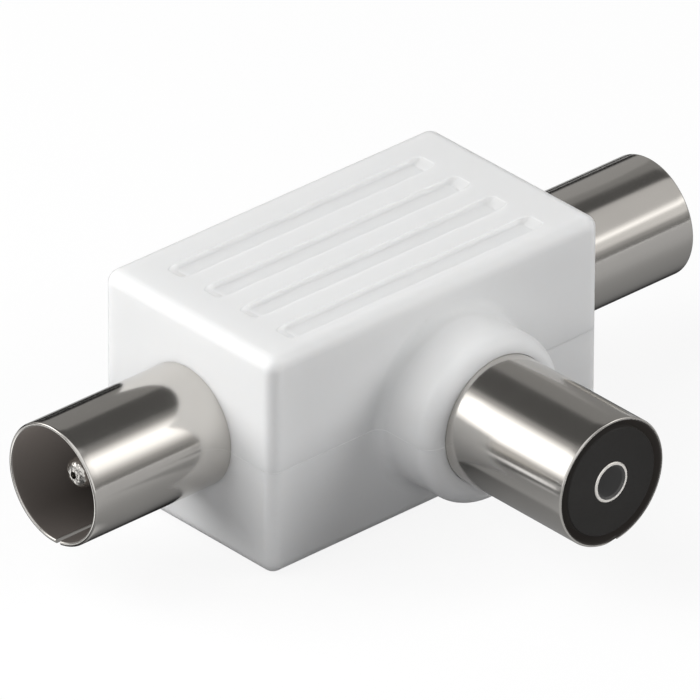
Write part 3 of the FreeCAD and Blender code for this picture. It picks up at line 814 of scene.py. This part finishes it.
class SPLITTER_OT_stage(bpy.types.Operator):
    """Make the camera, the floor, the lamps, the cards and the background"""
    bl_idname = "splitter.stage"
    bl_label = "Studio"

    def execute(self, context):
        studio = context.scene.splitter_studio
        self.camera(context.scene, studio)
        floor = disc("floor", FLOOR_HEIGHT, FLOOR_RADIUS, floor_material(studio.floor))
        table = disc("table_card", TABLE_HEIGHT, TABLE_RADIUS, floor_card_material())
        only_reflected(table)
        for name, card in CARDS.items():
            patch = card_patch(name, card)
            only_reflected(patch)
        middle = Vector((0.0, 0.0, AXIS_HEIGHT))
        for name, (azimuth, elevation, watts) in LAMPS.items():
            place = direction(azimuth, elevation) * LAMP_DISTANCE + middle
            lamp(name, watts * studio.lamps, LAMP_SIZE, place, middle)
        self.world(context.scene, studio)
        return {"FINISHED"}

    def camera(self, scene, studio):
        """Far camera, looking at the middle of the picture."""
        azimuth, elevation = studio.azimuth, studio.elevation
        back = Vector((
            math.sin(azimuth) * math.cos(elevation), -math.cos(azimuth) * math.cos(elevation),
            math.sin(elevation)))
        right = Vector((math.cos(azimuth), math.sin(azimuth), 0.0))
        above = back.cross(right)
        turn = Matrix.Rotation(studio.roll, 3, back)
        right, above = turn @ right, turn @ above
        target = Vector(CAMERA_TARGET) - right * CAMERA_SHIFT[0] - above * CAMERA_SHIFT[1]
        data = bpy.data.cameras.new("camera")
        data.sensor_width = 36.0
        data.lens = studio.lens
        data.clip_end = 100.0
        camera = bpy.data.objects.new("camera", data)
        scene.collection.objects.link(camera)
        axes = Matrix((right, above, back)).transposed().to_4x4()
        camera.matrix_world = Matrix.Translation(target + back * studio.distance) @ axes
        scene.camera = camera

    def world(self, scene, studio):
        """White where it is seen, and an even fill for everything else."""
        scene.world = bpy.data.worlds.new("studio")
        finish = Finish("studio", scene.world)
        seen = seen_rays(finish)
        strength = studio.fill + (1 - studio.fill) * seen
        shader = finish.node("ShaderNodeBackground", None, {0: WHITE, 1: strength})[0]
        finish.node("ShaderNodeOutputWorld", None, {0: shader})


class SPLITTER_OT_housing(bpy.types.Operator):
    """Give both halves of the housing their moulded finish"""
    bl_idname = "splitter.housing"
    bl_label = "Housing"

    def execute(self, context):
        dress(housing_finish(context.scene.splitter_colours), "housing_top", "housing_bottom")
        return {"FINISHED"}


class SPLITTER_OT_sleeves(bpy.types.Operator):
    """Roll the three sheet metal sleeves"""
    bl_idname = "splitter.sleeves"
    bl_label = "Sleeves"

    def execute(self, context):
        sizes = context.scene.splitter_sleeves
        colours = context.scene.splitter_colours
        plug_slit = (sizes.slit_root, sizes.slit_mouth)
        turn = math.pi + sizes.slit_turn
        plug_skin = sizes.plug_radius - sizes.plug_wall * PLUG_SKIN
        socket_skin = sizes.socket_radius - sizes.socket_wall * SOCKET_SKIN
        # The plugs' insides are painted dark with the inside colour and the socket's with the insulator's
        # black, as shade.
        along = nickel_finish("nickel_along", colours, plug_skin, True, colours.nickel_inside_shade, PLUG_INSIDE_GLOW)
        across = nickel_finish("nickel_across", colours, socket_skin, False, colours.insulator, SOCKET_INSIDE_GLOW)
        self.roll("plug_sleeve", (-1, 0, 0), sizes, plug_slit, turn, along)
        self.roll("end_plug_sleeve", (1, 0, 0), sizes, plug_slit, turn, along)
        self.roll("side_socket_sleeve", (0, -1, 0), sizes, (sizes.seam, sizes.seam), turn, across)
        return {"FINISHED"}

    def roll(self, node, outward, sizes, slit, turn, material):
        """Rolls one sleeve in the place of its CAD node."""
        low, high = (np.array(corner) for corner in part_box(node))
        way = np.array(outward, float)
        ends = sorted((low @ way, high @ way))
        seat = way * ends[0] + UP * AXIS_HEIGHT
        socket = node == "side_socket_sleeve"
        radius = sizes.socket_radius if socket else sizes.plug_radius
        wall = sizes.socket_wall if socket else sizes.plug_wall
        tuck = sizes.tuck if socket else 0.0
        section = sleeve_section(radius, wall, ends[1] - ends[0], sizes)
        piece = rolled_sleeve(
            node + "_rolled", section, slit, turn, tuck, sizes.around, seat, way, material)
        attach(piece, "root")
        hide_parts(node)


class SPLITTER_OT_conductors(bpy.types.Operator):
    """Finish the pins, the contact and the insulators"""
    bl_idname = "splitter.conductors"
    bl_label = "Pins and insulators"

    def execute(self, context):
        colours = context.scene.splitter_colours
        dress(pin_finish(colours), "plug_pin", "end_plug_pin")
        dress(contact_finish(colours), "side_socket_contact")
        dress(insulator_finish(colours), "plug_insulator", "end_plug_insulator", "side_socket_insulator")
        return {"FINISHED"}


class SPLITTER_OT_inside(bpy.types.Operator):
    """Finish the ground frame, the board and what is soldered to it"""
    bl_idname = "splitter.inside"
    bl_label = "Inside"

    def execute(self, context):
        colours = context.scene.splitter_colours
        dress(strip_finish(colours), "ground_frame")
        dress(board_finish(colours), "circuit_board")
        dress(ferrite_finish(colours), "matching_core", "splitter_core")
        dress(copper_finish(colours), *(
            f"{core}_wire_{place}" for core in ("matching", "splitter") for place in ("inner", "outer")))
        low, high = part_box("isolation_resistor")
        dress(resistor_finish(colours, (low.x + high.x) / 2), "isolation_resistor")
        low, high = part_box("tuning_capacitor")
        dress(capacitor_finish(colours, high.z - CAPACITOR_HEIGHT), "tuning_capacitor")
        dress(solder_finish(colours), "solder_joints")
        return {"FINISHED"}


def dress(material, *nodes):
    """Gives a material to every slot of these CAD nodes."""
    for name in nodes:
        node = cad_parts[name]
        if not node.material_slots:
            node.data.materials.append(material)
        for slot in node.material_slots:
            slot.material = material


class SPLITTER_PT_panel(bpy.types.Panel):
    """Sizes, colours and steps of the splitter"""
    bl_idname = "SPLITTER_PT_panel"
    bl_label = "Aerial splitter"
    bl_space_type = "VIEW_3D"
    bl_region_type = "UI"
    bl_category = "Splitter"

    def draw(self, context):
        layout = self.layout
        for step in STEPS:
            layout.operator(step.bl_idname)
        for group in GROUPS:
            settings = getattr(context.scene, group)
            box = layout.box()
            for key in settings.bl_rna.properties.keys():
                if key not in ("rna_type", "name"):
                    box.prop(settings, key)


STEPS = (
    SPLITTER_OT_stage, SPLITTER_OT_housing, SPLITTER_OT_sleeves, SPLITTER_OT_conductors, SPLITTER_OT_inside)
GROUPS = {
    "splitter_sleeves": SleeveSizes, "splitter_colours": FinishColours, "splitter_studio": StudioSettings}


def register():
    for kind in (*GROUPS.values(), *STEPS, SPLITTER_PT_panel):
        bpy.utils.register_class(kind)
    for name, kind in GROUPS.items():
        setattr(bpy.types.Scene, name, PointerProperty(type=kind))


def unregister():
    for name in GROUPS:
        delattr(bpy.types.Scene, name)
    for kind in reversed((*GROUPS.values(), *STEPS, SPLITTER_PT_panel)):
        bpy.utils.unregister_class(kind)


def main():
    """Makes everything in order."""
    register()
    bpy.context.scene.view_settings.view_transform = "Standard"
    bpy.ops.splitter.stage()
    bpy.ops.splitter.housing()
    bpy.ops.splitter.sleeves()
    bpy.ops.splitter.conductors()
    bpy.ops.splitter.inside()


if __name__ == "__main__":
    main()
